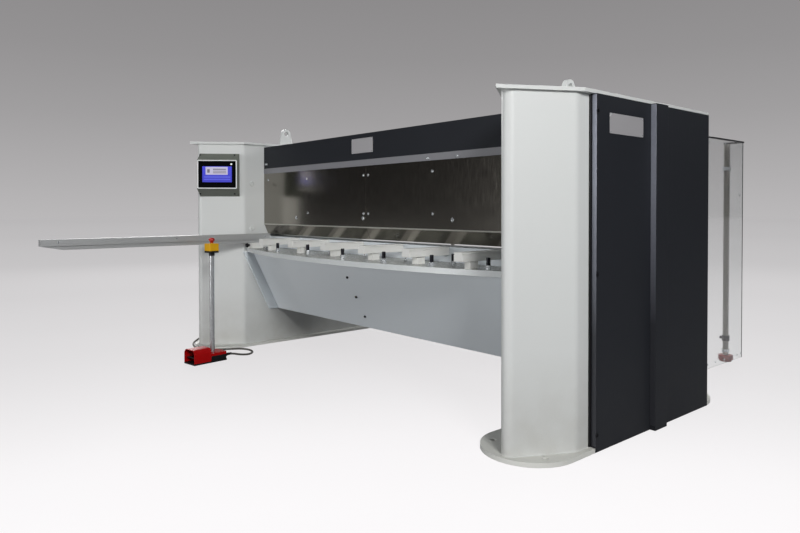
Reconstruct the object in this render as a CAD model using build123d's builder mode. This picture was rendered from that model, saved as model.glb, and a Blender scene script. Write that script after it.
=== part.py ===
from build123d import *
import os
from math import atan2, cos, degrees, radians, sin, tan

# Hydraulic plate shear. Millimetres, X to the right, Y to the back, Z up.
# The origin is on the floor, midway between the two columns.

# Columns and what stands on them
clear_width = 2580
column_width = 380
column_top = 1539
shoulder_depth = 535
nose_reach = 837
nose_offset = 24
column_back = 600
nose_radius = 38
shoulder_radius = 50
back_corner_radius = 8
base_thickness = 20
base_margin = 27
base_tip_inset = 11.5
base_back_margin = 225.5
anchor_inset = 48
anchor_beyond_arc = 80.5
anchor_radius = 14
top_thickness = 16
top_overhang = 15
top_outer_lead = 10
lug_inset = 55
lug_depth = 138
lug_height = 132
lug_width = 120
lug_head_radius = 38
lug_thickness = 25
lug_hole_radius = 18

# Sheet covers on the outside of each column
cover_sheet = 3
cover_floor_gap = 4
cover_seat_gap = 2
front_cover_setback = 92
front_cover_proud = 32
ridge_start = 7
ridge_width = 110
ridge_proud = 60
rear_cover_setback = 3
rear_cover_proud = 36
cover_seam = 1

# Blades and cutting beam
table_height = 838
shear_plane = 190
blade_gap = 0.3
blade_thickness = 22
blade_height = 80
blade_rise = 24
blade_rake = 0.9
blade_reveal = 30
cutting_beam_depth = 130
cutting_beam_drop = 99
cutting_beam_web = 50
cutting_beam_flange = 40
rib_count = 9
rib_thickness = 16
slide_gap = 0.5

# Upper beam, its cover and the sheet guard below it
beam_drop = 19
beam_height = 201
beam_depth = 150
beam_strip = 40
beam_face_lead = 175
beam_cover_depth = 40
beam_cover_rise = 4
fit_gap = 2
guard_sheet = 3
guard_opening = 17
guard_lip = 78
guard_setback = 34
guard_seam_gap = 2
guard_flange = 20

# Hold-down beam and its clamping feet
hold_down_count = 12
hold_down_margin = 190
hold_down_rod_radius = 18
hold_down_pad_radius = 28
hold_down_pad_height = 18
hold_down_lift = 20
hold_down_flange = 70
hold_down_flange_height = 22
hold_down_throat = 182
hold_down_beam_depth = 80
hold_down_standoff = 25

# Table and its box beam
arm_standoff = 84
table_plate_thickness = 30
table_bow = 716
table_corner = 515
apron_thickness = 12
apron_height = 454
apron_lead = 63
apron_slope = 26
bed_depth = 140
bed_head_height = 148
end_plate_thickness = 20
end_plate_lead = 75

# Support arms and the squaring arm
arm_count = 6
arm_right_margin = 230
arm_left_margin = 425
arm_width = 60
arm_thickness = 45
arm_front = 625
arm_groove = 4
arm_groove_drop = 8
arm_foot_length = 55
arm_foot_width = 40
arm_foot_setback = 65
squaring_inset = 73
squaring_front = 1949
squaring_width = 50
squaring_rise = 23
squaring_height = 42
squaring_slot_width = 12
squaring_slot_depth = 8
squaring_guard_gap = 5
flange_width = 30
flange_height = 25
flange_taper = 130
bracket_length = 90
bracket_width = 90
bracket_front = 530
knob_stem = 14
knob_stem_radius = 8
knob_thickness = 16
knob_radius = 18
knob_hollow_radius = 11
knob_lobes = 5

# Control box on the left column's nose
box_width = 292
box_face_height = 216
box_bevel = 54
box_depth = 110
box_drop = 234
box_shift = 6
bezel_side_margin = 3
bezel_end_margin = 2
bezel_thickness = 10
bezel_corner = 8
bezel_rim = 7
glass_recess = 1

# Foot pedal with its emergency stop stand
pedal_inset = 292
pedal_y = -1097
pedal_turn = 7.5
pedal_width = 130
pedal_length = 250
pedal_plate = 10
hood_length = 128
hood_height = 102
hood_wall = 5
hood_round = 34
block_height = 62
block_lid = 20
block_inset = 6
ear_gap = 4
ear_thickness = 6
ear_radius = 10
treadle_margin = 6
treadle_front_gap = 8
treadle_thickness = 6
treadle_front = 48
hinge_height = 30
hinge_back = 100
hinge_radius = 5
hinge_clearance = 0.3
pole_radius = 16.5
pole_back = 176
pole_top = 747
stop_socket_height = 23
stop_socket_radius = 19
stop_box_width = 72
stop_box_corner = 6
stop_base_height = 13
stop_box_height = 50
stop_collar_height = 3
stop_collar_radius = 17
button_radius = 20.5
button_height = 25
button_chamfer = 6
button_stem_radius = 12
button_gap = 12
button_travel = 5
button_bottom_gap = 3
button_stem_length = 34
button_clearance = 0.5

# Cable from the pedal to the left column
cable_radius = 7
gland_radius = 12
cable_lead = 44
straight_share = 0.45
pedal_gland_length = 20
pedal_gland_height = 30
pedal_gland_offset = 28
elbow_along = 190
elbow_out = 26
elbow_height = 60
elbow_radius = 15
elbow_length = 44
cable_route = [
    (294, -723, 14),
    (298, -656, 7),
    (250, -598, 7),
    (168, -578, 7),
    (86, -604, 7),
    (42, -680, 7),
    (4, -762, 7),
    (-62, -828, 7),
    (-144, -866, 12),
    (-218, -856, 32),
    (-256, -800, 50),
]

# Rear guards
rear_guard_inset = 59
rear_guard_length = 1137
rear_guard_bottom = 44
rear_guard_drop = 52
rear_guard_sheet = 6
rear_guard_return = 106
rail_width = 14
rail_height = 10
wall_angle_leg = 40
wall_angle_thickness = 4
post_radius = 19
foot_radius = 46
foot_height = 30
pad_radius = 40
pad_height = 12

# Back gauge and sheet chute
gauge_bar_back = 450
gauge_bar_depth = 50
gauge_bar_height = 90
gauge_bar_margin = 100
gauge_bar_rise = 8
gauge_arm_margin = 490
gauge_arm_width = 80
gauge_arm_height = 100
gauge_arm_length = 860
gauge_arm_wall = 8
gauge_arm_end = 16
gauge_screw_radius = 10
gauge_screw_rise = 45
carriage_height = 24
carriage_length = 120
nut_length = 80
nut_wall = 14
nut_clearance = 0.3
chute_thickness = 4
chute_drop = 148
chute_fall = 310
chute_length = 750
chute_rail_width = 40
chute_rail_thickness = 12

inner_face = clear_width / 2
column_x = inner_face + column_width / 2
outer_face = inner_face + column_width
beam_top = column_top - beam_drop
beam_bottom = beam_top - beam_height
beam_face = shear_plane + beam_face_lead
table_plate_top = table_height - arm_standoff

os.makedirs("parts", exist_ok=True)


def save(builder, name):
    builder.part.label = name
    export_step(builder.part, f"parts/{name}.step")


def block(x, y, z, mode=Mode.ADD):
    """A box between two X, two Y and two Z values."""
    with Locations((sum(x) / 2, sum(y) / 2, sum(z) / 2)):
        Box(abs(x[1] - x[0]), abs(y[1] - y[0]), abs(z[1] - z[0]), mode=mode)


def column_points(sign, lead=0):
    """The pointed plan of one column, its outer face moved out by the lead."""
    nose_x = column_x + nose_offset
    outer_slope = (nose_reach - shoulder_depth) / (outer_face - nose_x)
    return [
        (sign * nose_x, -nose_reach),
        (sign * (outer_face + lead), -shoulder_depth + lead * outer_slope),
        (sign * (outer_face + lead), column_back),
        (sign * inner_face, column_back),
        (sign * inner_face, -shoulder_depth),
    ]


# Base plates, columns, top plates and lugs
front_cover_start = shoulder_depth - front_cover_setback
rear_cover_end = column_back - rear_cover_setback
base_radius = column_width / 2 + base_margin
base_front = nose_reach - base_tip_inset - base_radius
base_back = column_back + base_back_margin - base_radius
anchor_spacing = column_width - 2 * anchor_inset
anchor_run = base_front + base_back + 2 * anchor_beyond_arc
for side, sign in (("left", -1), ("right", 1)):
    with BuildPart() as base_plate:
        with BuildSketch():
            with Locations((sign * column_x, (base_back - base_front) / 2)):
                SlotCenterToCenter(base_front + base_back, 2 * base_radius, rotation=90)
                with GridLocations(anchor_spacing, anchor_run, 2, 2):
                    Circle(anchor_radius, mode=Mode.SUBTRACT)
        extrude(amount=base_thickness)
    save(base_plate, f"{side}_base_plate")

    with BuildPart() as column:
        with BuildSketch(Plane.XY.offset(base_thickness)) as plan:
            Polygon(*column_points(sign), align=None)
            fillet(plan.vertices().sort_by(Axis.Y)[-2:], back_corner_radius)
            fillet(plan.vertices().sort_by(Axis.Y)[1:3], shoulder_radius)
            fillet(plan.vertices().sort_by(Axis.Y)[0], nose_radius)
        extrude(amount=column_top - base_thickness)
    save(column, f"{side}_column")

    with BuildPart() as top_plate:
        with BuildSketch(Plane.XY.offset(column_top)):
            Polygon(*column_points(sign, top_outer_lead), align=None)
            offset(amount=top_overhang, kind=Kind.INTERSECTION)
        extrude(amount=top_thickness)
    save(top_plate, f"{side}_top_plate")

    with BuildPart() as lug:
        lug_x = sign * (inner_face + lug_inset)
        with BuildSketch(Plane.YZ.offset(lug_x - lug_thickness / 2)):
            foot = column_top + top_thickness
            head = foot + lug_height - lug_head_radius
            Polygon(
                (-lug_depth - lug_width / 2, foot),
                (-lug_depth + lug_width / 2, foot),
                (-lug_depth + lug_head_radius, head),
                (-lug_depth - lug_head_radius, head),
                align=None,
            )
            with Locations((-lug_depth, head)):
                Circle(lug_head_radius)
                Circle(lug_hole_radius, mode=Mode.SUBTRACT)
        extrude(amount=lug_thickness)
    save(lug, f"{side}_lifting_lug")

# Sheet covers on the outside of the columns, notched over the base plate
cover_seat = base_thickness + cover_seat_gap
cover_seat_end = column_x + base_radius + cover_seat_gap
for side, sign in (("left", -1), ("right", 1)):
    covers = (
        ("front", -front_cover_start, ridge_start - cover_seam, front_cover_proud),
        ("ridge", ridge_start, ridge_start + ridge_width, ridge_proud),
        ("rear", ridge_start + ridge_width + cover_seam, rear_cover_end, rear_cover_proud),
    )
    for name, start, end, proud in covers:
        outside = sign * (outer_face + proud)
        inside = sign * outer_face
        with BuildPart() as cover:
            block((inside, outside), (start, end), (cover_floor_gap, column_top))
            block(
                (inside, outside - sign * cover_sheet),
                (start + cover_sheet, end - cover_sheet),
                (cover_floor_gap + cover_sheet, column_top - cover_sheet),
                Mode.SUBTRACT,
            )
            block(
                (inside, sign * cover_seat_end), (start, end), (cover_floor_gap, cover_seat), Mode.SUBTRACT
            )
        save(cover, f"{side}_{name}_cover")

# Upper beam behind its dark cover
beam_cover_bottom = beam_bottom + beam_strip
beam_cover_top = beam_top + beam_cover_rise
beam_cover_back = -beam_face + beam_cover_depth
with BuildPart() as upper_beam:
    back = -beam_face + beam_depth
    with BuildSketch(Plane.YZ.offset(-inner_face)):
        Polygon(
            (-beam_face, beam_bottom),
            (back, beam_bottom),
            (back, beam_top),
            (beam_cover_back, beam_top),
            (beam_cover_back, beam_cover_bottom),
            (-beam_face, beam_cover_bottom),
            align=None,
        )
    extrude(amount=clear_width)
save(upper_beam, "upper_beam")

cover_end = inner_face - fit_gap
with BuildPart() as beam_cover:
    block((-cover_end, cover_end), (-beam_face, beam_cover_back), (beam_cover_bottom, beam_cover_top))
    block(
        (-cover_end + cover_sheet, cover_end - cover_sheet),
        (-beam_face + cover_sheet, beam_cover_back),
        (beam_cover_bottom + cover_sheet, beam_cover_top - cover_sheet),
        Mode.SUBTRACT,
    )
save(beam_cover, "beam_cover")

# Guard of two bent sheets under the beam
guard_front = -beam_face
guard_back = guard_front + guard_sheet
guard_bottom = table_height + guard_opening
guard_bend = guard_bottom + guard_lip
for side, start, end in (
    ("left", -cover_end, -guard_seam_gap / 2),
    ("right", guard_seam_gap / 2, cover_end),
):
    with BuildPart() as guard:
        with BuildSketch(Plane.YZ.offset(start)):
            Polygon(
                (guard_front, beam_bottom),
                (guard_front, guard_bend),
                (guard_front + guard_setback, guard_bottom),
                (guard_back + guard_setback, guard_bottom),
                (guard_back, guard_bend),
                (guard_back, beam_bottom - guard_sheet),
                (guard_front + guard_flange, beam_bottom - guard_sheet),
                (guard_front + guard_flange, beam_bottom),
                align=None,
            )
        extrude(amount=end - start)
    save(guard, f"{side}_guard_panel")

# Hold-down beam with its row of clamping feet
hold_down_front = guard_back + hold_down_standoff
hold_down_back = hold_down_front + hold_down_beam_depth
hold_down_bottom = table_height + hold_down_throat
with BuildPart() as hold_down_beam:
    block((-inner_face, inner_face), (hold_down_front, hold_down_back), (hold_down_bottom, beam_bottom))
save(hold_down_beam, "hold_down_beam")

pad_bottom = table_height + hold_down_lift
pad_top = pad_bottom + hold_down_pad_height
rod_top = hold_down_bottom - hold_down_flange_height
hold_down_y = (hold_down_front + hold_down_back) / 2
hold_down_pitch = 2 * (inner_face - hold_down_margin) / (hold_down_count - 1)
with BuildPart() as hold_down_feet:
    with Locations((0, hold_down_y, 0)):
        with GridLocations(hold_down_pitch, 1, hold_down_count, 1):
            with Locations((0, 0, (pad_bottom + pad_top) / 2)):
                Cylinder(hold_down_pad_radius, hold_down_pad_height)
            with Locations((0, 0, (pad_top + rod_top) / 2)):
                Cylinder(hold_down_rod_radius, rod_top - pad_top)
            with Locations((0, 0, (rod_top + hold_down_bottom) / 2)):
                Box(hold_down_flange, hold_down_flange, hold_down_flange_height)
save(hold_down_feet, "hold_down_feet")

# Back gauge heights, which the cutting beam's ribs stay above
bar_bottom = table_height + gauge_bar_rise
bar_top = bar_bottom + gauge_bar_height
gauge_arm_bottom = bar_top + carriage_height
gauge_arm_top = gauge_arm_bottom + gauge_arm_height

# Cutting beam: raked blade seat in front, pockets between ribs behind
blade_low = table_height + blade_rise
blade_climb = clear_width * tan(radians(blade_rake))
blade_front = -shear_plane + blade_gap
beam_end = inner_face - slide_gap
beam_back = blade_front + cutting_beam_depth
cutting_beam_top = column_top - cutting_beam_drop
blade_outline = [
    (-beam_end, blade_low),
    (beam_end, blade_low + blade_climb),
    (beam_end, blade_low + blade_climb + blade_height),
    (-beam_end, blade_low + blade_height),
]
rib_pitch = (2 * beam_end - rib_thickness) / (rib_count - 1)
pocket_depth = cutting_beam_depth - cutting_beam_web
pocket_bottom = gauge_arm_top + cutting_beam_flange
pocket_top = cutting_beam_top - cutting_beam_flange

with BuildPart() as cutting_beam:
    with BuildSketch(Plane.XZ.offset(-blade_front)):
        Polygon(
            (-beam_end, blade_low + blade_reveal),
            (beam_end, blade_low + blade_climb + blade_reveal),
            (beam_end, cutting_beam_top),
            (-beam_end, cutting_beam_top),
            align=None,
        )
    extrude(amount=-cutting_beam_depth)
    with BuildSketch(Plane.XZ.offset(-blade_front)):
        Polygon(*blade_outline, align=None)
    extrude(amount=-blade_thickness, mode=Mode.SUBTRACT)
    with Locations((0, beam_back - pocket_depth / 2, (pocket_bottom + pocket_top) / 2)):
        with GridLocations(rib_pitch, 1, rib_count - 1, 1):
            Box(rib_pitch - rib_thickness, pocket_depth, pocket_top - pocket_bottom, mode=Mode.SUBTRACT)
save(cutting_beam, "cutting_beam")

with BuildPart() as upper_blade:
    with BuildSketch(Plane.XZ.offset(-blade_front)):
        Polygon(*blade_outline, align=None)
    extrude(amount=-blade_thickness)
save(upper_blade, "upper_blade")

# Table: bed with the lower blade, plate, sloping apron and end plates
apron_face = apron_thickness / cos(radians(apron_slope))
plate_bottom = table_plate_top - table_plate_thickness
apron_bottom = plate_bottom - apron_height
apron_bottom_depth = shear_plane + apron_lead
bed_head_bottom = table_height - bed_head_height
apron_top_depth = apron_bottom_depth + apron_height * tan(radians(apron_slope))
web_front = -apron_bottom_depth + apron_face
bed_front = -shear_plane - bed_depth
with BuildPart() as table_bed:
    with BuildSketch(Plane.YZ.offset(-inner_face)):
        Polygon(
            (-shear_plane, apron_bottom),
            (-shear_plane, table_height - blade_height),
            (-shear_plane - blade_thickness, table_height - blade_height),
            (-shear_plane - blade_thickness, table_height),
            (bed_front, table_height),
            (bed_front, bed_head_bottom),
            (web_front, bed_head_bottom),
            (web_front, apron_bottom),
            align=None,
        )
    extrude(amount=clear_width)
save(table_bed, "table_bed")

with BuildPart() as lower_blade:
    block(
        (-inner_face, inner_face),
        (-shear_plane - blade_thickness, -shear_plane),
        (table_height - blade_height, table_height),
    )
save(lower_blade, "lower_blade")

with BuildPart() as table_plate:
    with BuildSketch(Plane.XY.offset(plate_bottom)):
        with BuildLine():
            ThreePointArc((-inner_face, -table_corner), (0, -table_bow), (inner_face, -table_corner))
            Polyline(
                (inner_face, -table_corner),
                (inner_face, bed_front),
                (-inner_face, bed_front),
                (-inner_face, -table_corner),
            )
        make_face()
    extrude(amount=table_plate_thickness)
save(table_plate, "table_plate")

apron_end = inner_face - end_plate_thickness
with BuildPart() as table_apron:
    with BuildSketch(Plane.YZ.offset(-apron_end)):
        Polygon(
            (-apron_bottom_depth, apron_bottom),
            (-apron_top_depth, plate_bottom),
            (-apron_top_depth + apron_face, plate_bottom),
            (web_front, apron_bottom),
            align=None,
        )
    extrude(amount=2 * apron_end)
save(table_apron, "table_apron")

for side, start in (("left", -inner_face), ("right", apron_end)):
    with BuildPart() as end_plate:
        with BuildSketch(Plane.YZ.offset(start)):
            Polygon(
                (-apron_bottom_depth - end_plate_lead, apron_bottom),
                (-apron_top_depth - end_plate_lead, plate_bottom),
                (bed_front, plate_bottom),
                (bed_front, bed_head_bottom),
                (web_front, bed_head_bottom),
                (web_front, apron_bottom),
                align=None,
            )
        extrude(amount=end_plate_thickness)
    save(end_plate, f"{side}_table_end_plate")

# Support arms on the table, each with a groove along both sides
arm_bottom = table_height - arm_thickness
arm_first = inner_face - arm_right_margin
arm_pitch = (arm_first + inner_face - arm_left_margin) / (arm_count - 1)
foot_front = -arm_front + arm_foot_setback
groove_top = table_height - arm_groove_drop
with BuildPart() as support_arms:
    for number in range(arm_count):
        x = arm_first - number * arm_pitch
        block((x - arm_width / 2, x + arm_width / 2), (-arm_front, bed_front), (arm_bottom, table_height))
        block(
            (x - arm_foot_width / 2, x + arm_foot_width / 2),
            (foot_front, foot_front + arm_foot_length),
            (table_plate_top, arm_bottom),
        )
        for side in (-1, 1):
            face = x + side * arm_width / 2
            block(
                (face - side * arm_groove, face),
                (-arm_front, bed_front),
                (groove_top - arm_groove, groove_top),
                Mode.SUBTRACT,
            )
save(support_arms, "support_arms")

# Squaring arm with its bracket and knob at the left end of the table
squaring_x = inner_face - squaring_inset
squaring_back = guard_front - squaring_guard_gap
squaring_top = table_height + squaring_rise
squaring_bottom = squaring_top - squaring_height
flange_bottom = squaring_bottom - flange_height
with BuildPart() as squaring_arm:
    block(
        (-squaring_x - squaring_width / 2, -squaring_x + squaring_width / 2),
        (-squaring_front, squaring_back),
        (squaring_bottom, squaring_top),
    )
    block(
        (-squaring_x - squaring_slot_width / 2, -squaring_x + squaring_slot_width / 2),
        (-squaring_front, squaring_back),
        (squaring_top - squaring_slot_depth, squaring_top),
        Mode.SUBTRACT,
    )
    with BuildSketch(Plane.YZ.offset(-squaring_x - flange_width / 2)):
        Polygon(
            (-squaring_front, squaring_bottom),
            (-squaring_front + flange_taper, flange_bottom),
            (squaring_back, flange_bottom),
            (squaring_back, squaring_bottom),
            align=None,
        )
    extrude(amount=flange_width)
save(squaring_arm, "squaring_arm")

with BuildPart() as squaring_bracket:
    block(
        (-squaring_x - bracket_width / 2, -squaring_x + bracket_width / 2),
        (-bracket_front, -bracket_front + bracket_length),
        (table_plate_top, flange_bottom),
    )
save(squaring_bracket, "squaring_bracket")

knob_centre = (-squaring_x, (table_plate_top + flange_bottom) / 2)
knob_star = []
for number in range(2 * knob_lobes):
    reach = (knob_radius, knob_hollow_radius)[number % 2]
    angle = radians(90 + number * 180 / knob_lobes)
    knob_star.append((reach * cos(angle), reach * sin(angle)))
with BuildPart() as bracket_knob:
    with BuildSketch(Plane.XZ.offset(bracket_front)):
        with Locations(knob_centre):
            Circle(knob_stem_radius)
    extrude(amount=knob_stem)
    with BuildSketch(Plane.XZ.offset(bracket_front + knob_stem)):
        with Locations(knob_centre):
            Polygon(*knob_star, align=None)
    extrude(amount=knob_thickness)
save(bracket_knob, "bracket_knob")

# Control box on the inner face of the left column's nose
left_nose = Vector(-column_x - nose_offset, -nose_reach, 0)
inner_run = Vector(-inner_face, -shoulder_depth, 0) - left_nose
outer_run = Vector(-outer_face, -shoulder_depth, 0) - left_nose
inner_along = inner_run.normalized()
outer_along = outer_run.normalized()
inner_out = Vector(inner_along.Y, -inner_along.X, 0)
outer_out = Vector(-outer_along.Y, outer_along.X, 0)
box_origin = left_nose + inner_along * (inner_run.length / 2 + box_shift)
box_middle = column_top - box_drop
box_half = box_face_height / 2
with BuildPart() as control_enclosure:
    with BuildSketch(Plane(box_origin, x_dir=inner_out, z_dir=-inner_along)):
        Polygon(
            (0, box_middle - box_half - box_bevel),
            (box_depth, box_middle - box_half),
            (box_depth, box_middle + box_half),
            (0, box_middle + box_half + box_bevel),
            align=None,
        )
    extrude(amount=box_width / 2, both=True)
save(control_enclosure, "control_enclosure")

box_face = Plane(
    box_origin + inner_out * box_depth + Vector(0, 0, box_middle), x_dir=inner_along, z_dir=inner_out
)
bezel_width = box_width - 2 * bezel_side_margin
bezel_height = box_face_height - 2 * bezel_end_margin
with BuildPart() as control_bezel:
    with BuildSketch(box_face):
        RectangleRounded(bezel_width, bezel_height, bezel_corner)
        Rectangle(bezel_width - 2 * bezel_rim, bezel_height - 2 * bezel_rim, mode=Mode.SUBTRACT)
    extrude(amount=bezel_thickness)
save(control_bezel, "control_bezel")

with BuildPart() as control_glass:
    with BuildSketch(box_face):
        Rectangle(bezel_width - 2 * bezel_rim, bezel_height - 2 * bezel_rim)
    extrude(amount=bezel_thickness - glass_recess)
save(control_glass, "control_glass")

# Foot pedal
turn = radians(pedal_turn)
pedal_right = Vector(cos(turn), sin(turn), 0)
pedal_back = Vector(-sin(turn), cos(turn), 0)
pedal_origin = Vector(pedal_inset - inner_face, pedal_y, 0)
pedal_floor = Plane(pedal_origin, x_dir=pedal_right, z_dir=(0, 0, 1))
pedal_front = Plane(pedal_origin, x_dir=pedal_right, z_dir=-pedal_back)
pedal_side = Plane(pedal_origin, x_dir=pedal_back, z_dir=pedal_right)
lid_bottom = block_height - block_lid
block_width = pedal_width - 2 * block_inset
ear_inside = pedal_width / 2 - hood_wall - ear_gap - ear_thickness
treadle_width = 2 * (ear_inside - treadle_margin)
treadle_length = hinge_back - treadle_front_gap

with BuildPart(pedal_floor) as pedal_base:
    block((-pedal_width / 2, pedal_width / 2), (0, pedal_length), (0, pedal_plate))
    block((-block_width / 2, block_width / 2), (hood_length, pedal_length), (pedal_plate, lid_bottom))
    for ear in (-1, 1):
        with BuildSketch(pedal_side.offset(ear * (ear_inside + ear_thickness / 2) - ear_thickness / 2)):
            with Locations((hinge_back, hinge_height)):
                Circle(ear_radius)
            with Locations((hinge_back, (pedal_plate + hinge_height) / 2)):
                Rectangle(2 * ear_radius, hinge_height - pedal_plate)
            with Locations((hinge_back, hinge_height)):
                Circle(hinge_radius + hinge_clearance, mode=Mode.SUBTRACT)
        extrude(amount=ear_thickness)
save(pedal_base, "pedal_base")

with BuildPart() as pedal_hood:
    with BuildSketch(pedal_front) as arch:
        with Locations((0, (pedal_plate + hood_height) / 2)):
            Rectangle(pedal_width, hood_height - pedal_plate)
        fillet(arch.vertices().group_by(Axis.Y)[-1], hood_round)
    extrude(amount=-hood_length)
    with BuildSketch(pedal_front) as hollow:
        with Locations((0, (pedal_plate + hood_height - hood_wall) / 2)):
            Rectangle(pedal_width - 2 * hood_wall, hood_height - hood_wall - pedal_plate)
        fillet(hollow.vertices().group_by(Axis.Y)[-1], hood_round - hood_wall)
    extrude(amount=-(hood_length - hood_wall), mode=Mode.SUBTRACT)
    with BuildSketch(pedal_floor.offset(lid_bottom)):
        with Locations((0, (hood_length + pedal_length) / 2)):
            Rectangle(block_width, pedal_length - hood_length)
    extrude(amount=block_lid)
save(pedal_hood, "pedal_hood")

treadle_rise = degrees(atan2(treadle_front - hinge_height, treadle_length))
with BuildPart() as pedal_treadle:
    with BuildSketch(pedal_side.offset(-treadle_width / 2)):
        with Locations((hinge_back, hinge_height)):
            with Locations(Location((0, 0), -treadle_rise)):
                Rectangle(treadle_length, treadle_thickness, align=(Align.MAX, Align.CENTER))
    extrude(amount=treadle_width)
    with BuildSketch(pedal_side.offset(-ear_inside - ear_thickness)):
        with Locations((hinge_back, hinge_height)):
            Circle(hinge_radius)
    extrude(amount=2 * (ear_inside + ear_thickness))
save(pedal_treadle, "pedal_treadle")

# Emergency stop on its pole
pole_plane = Plane(pedal_origin + pedal_back * pole_back, x_dir=pedal_right, z_dir=(0, 0, 1))
socket_bottom = pole_top - stop_socket_height
with BuildPart() as stop_pole:
    with BuildSketch(pole_plane.offset(block_height)):
        Circle(pole_radius)
    extrude(amount=socket_bottom - block_height)
save(stop_pole, "stop_pole")

with BuildPart() as stop_base:
    with BuildSketch(pole_plane.offset(socket_bottom)):
        Circle(stop_socket_radius)
    extrude(amount=stop_socket_height)
    with BuildSketch(pole_plane.offset(pole_top)):
        RectangleRounded(stop_box_width, stop_box_width, stop_box_corner)
    extrude(amount=stop_base_height)
save(stop_base, "stop_base")

housing_bottom = pole_top + stop_base_height
housing_top = housing_bottom + stop_box_height
collar_top = housing_top + stop_collar_height
button_bore_depth = button_stem_length - button_gap + button_travel + button_bottom_gap
with BuildPart() as stop_housing:
    with BuildSketch(pole_plane.offset(housing_bottom)):
        RectangleRounded(stop_box_width, stop_box_width, stop_box_corner)
    extrude(amount=stop_box_height)
    with BuildSketch(pole_plane.offset(housing_top)):
        Circle(stop_collar_radius)
    extrude(amount=stop_collar_height)
    with BuildSketch(pole_plane.offset(collar_top)):
        Circle(button_stem_radius + button_clearance)
    extrude(amount=-button_bore_depth, mode=Mode.SUBTRACT)
save(stop_housing, "stop_housing")

head_bottom = collar_top + button_gap
with BuildPart() as stop_button:
    with BuildSketch(pole_plane.offset(head_bottom)):
        Circle(button_radius)
    extrude(amount=button_height)
    chamfer(stop_button.faces().sort_by(Axis.Z)[-1].edges(), button_chamfer)
    with BuildSketch(pole_plane.offset(head_bottom - button_stem_length)):
        Circle(button_stem_radius)
    extrude(amount=button_stem_length)
save(stop_button, "stop_button")

# Glands and the cable between the pedal and the left column
gland_origin = pedal_origin + pedal_right * pedal_gland_offset + pedal_back * pedal_length
gland_origin += Vector(0, 0, pedal_gland_height)
cable_start = gland_origin + pedal_back * pedal_gland_length
with BuildPart() as pedal_gland:
    with BuildSketch(Plane(gland_origin, x_dir=pedal_right, z_dir=pedal_back)):
        Circle(gland_radius)
    extrude(amount=pedal_gland_length)
save(pedal_gland, "pedal_gland")

elbow_middle = left_nose + outer_along * elbow_along + outer_out * elbow_out + Vector(0, 0, elbow_height)
cable_end = elbow_middle - outer_along * (elbow_length / 2)
with BuildPart() as column_gland:
    with BuildSketch(Plane(cable_end, z_dir=outer_along)):
        Circle(elbow_radius)
    extrude(amount=elbow_length)
    with BuildSketch(Plane(elbow_middle - outer_out * elbow_out, z_dir=outer_out)):
        Circle(elbow_radius)
    extrude(amount=elbow_out)
save(column_gland, "column_gland")


def bend_radii(points):
    """The radius at each corner that leaves part of its shorter run straight."""
    radii = []
    for before, corner, after in zip(points, points[1:], points[2:]):
        run_in = corner - before
        run_out = after - corner
        half_turn = radians(run_in.get_angle(run_out)) / 2
        radii.append(straight_share * min(run_in.length, run_out.length) / tan(half_turn))
    return radii


route = [
    cable_start,
    cable_start + pedal_back * cable_lead,
    *(Vector(-inner_face, 0, 0) + Vector(*point) for point in cable_route),
    cable_end - outer_along * cable_lead,
    cable_end,
]
radii = bend_radii(route)
print("cable bend radii", [round(radius) for radius in radii])
with BuildPart() as pedal_cable:
    with BuildLine() as path:
        FilletPolyline(*route, radius=radii)
    with BuildSketch(Plane(route[0], z_dir=path.wires()[0] % 0)):
        Circle(cable_radius)
    sweep(path=path.wires()[0])
print("cable length", round(path.wires()[0].length), "mm")
save(pedal_cable, "pedal_cable")

# Rear guards on both sides
rear_guard_x = column_x - rear_guard_inset
rear_guard_end = column_back + rear_guard_length
rear_guard_top = column_top - rear_guard_drop
post_x = rear_guard_x - rear_guard_return
half_sheet = rear_guard_sheet / 2
half_rail = rail_width / 2
for side, sign in (("left", -1), ("right", 1)):
    with BuildPart() as rear_panel:
        near = sign * (rear_guard_x - half_sheet)
        far = sign * (rear_guard_x + half_sheet)
        back = rear_guard_end + half_sheet
        block((near, far), (column_back, back), (rear_guard_bottom, rear_guard_top))
        block(
            (sign * (post_x + post_radius), near),
            (rear_guard_end - half_sheet, back),
            (rear_guard_bottom, rear_guard_top),
        )
    save(rear_panel, f"{side}_rear_guard_panel")

with BuildPart() as rear_guard_rails:
    for sign in (-1, 1):
        near = sign * (rear_guard_x - half_rail)
        far = sign * (rear_guard_x + half_rail)
        back = rear_guard_end + half_rail
        top = rear_guard_top + rail_height
        block((near, far), (column_back, back), (rear_guard_top, top))
        block(
            (sign * (post_x - post_radius), near),
            (rear_guard_end - half_rail, back),
            (rear_guard_top, top),
        )
save(rear_guard_rails, "rear_guard_rails")

with BuildPart() as rear_guard_angles:
    for sign in (-1, 1):
        face = rear_guard_x - half_sheet
        for reach, depth in ((wall_angle_leg, wall_angle_thickness), (wall_angle_thickness, wall_angle_leg)):
            block(
                (sign * (face - reach), sign * face),
                (column_back, column_back + depth),
                (rear_guard_bottom, rear_guard_top),
            )
save(rear_guard_angles, "rear_guard_angles")

foot_top = pad_height + foot_height
with BuildPart() as rear_guard_posts:
    with BuildSketch(Plane.XY.offset(foot_top)):
        with Locations((-post_x, rear_guard_end), (post_x, rear_guard_end)):
            Circle(post_radius)
    extrude(amount=rear_guard_top - foot_top)
save(rear_guard_posts, "rear_guard_posts")

with BuildPart() as rear_guard_feet:
    for radius, bottom, height in ((pad_radius, 0, pad_height), (foot_radius, pad_height, foot_height)):
        with BuildSketch(Plane.XY.offset(bottom)):
            with Locations((-post_x, rear_guard_end), (post_x, rear_guard_end)):
                Circle(radius)
        extrude(amount=height)
save(rear_guard_feet, "rear_guard_feet")

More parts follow.
